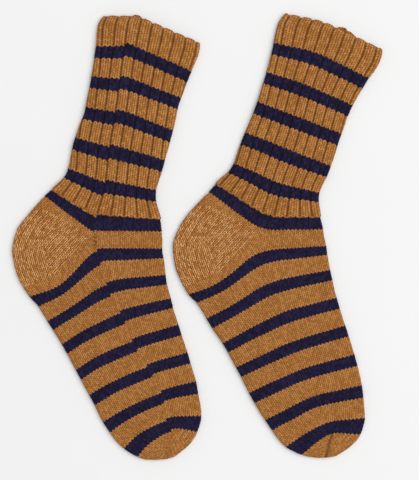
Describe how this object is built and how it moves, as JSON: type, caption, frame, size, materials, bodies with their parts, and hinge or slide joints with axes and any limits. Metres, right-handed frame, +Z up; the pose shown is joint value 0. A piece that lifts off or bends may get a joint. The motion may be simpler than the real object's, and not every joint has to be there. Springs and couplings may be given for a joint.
{
  "type": "pair of socks",
  "caption": "Pair of hand-knitted wool socks laid flat side by side, with ribbed legs, navy stripes on brown, marled turned heels and rounded toes.",
  "frame": {"origin": "the middle of the pair's outline, on the surface that the socks rest on", "axes": "+X across the pair to the right, from the left sock's heel to the right sock's toe side; +Y along the pair towards the cuffs; +Z up out of the upper layers"},
  "size_m": [0.3522, 0.4254, 0.0074],
  "materials": {
    "striped_wool": "matt heathered brown wool, knitted, with navy stripes",
    "heel_wool": "matt brown wool knitted together with a pale reinforcing thread"
  },
  "bodies": {
    "root": {"sock_left": "striped_wool", "sock_right": "striped_wool"}
  },
  "joints": []
}
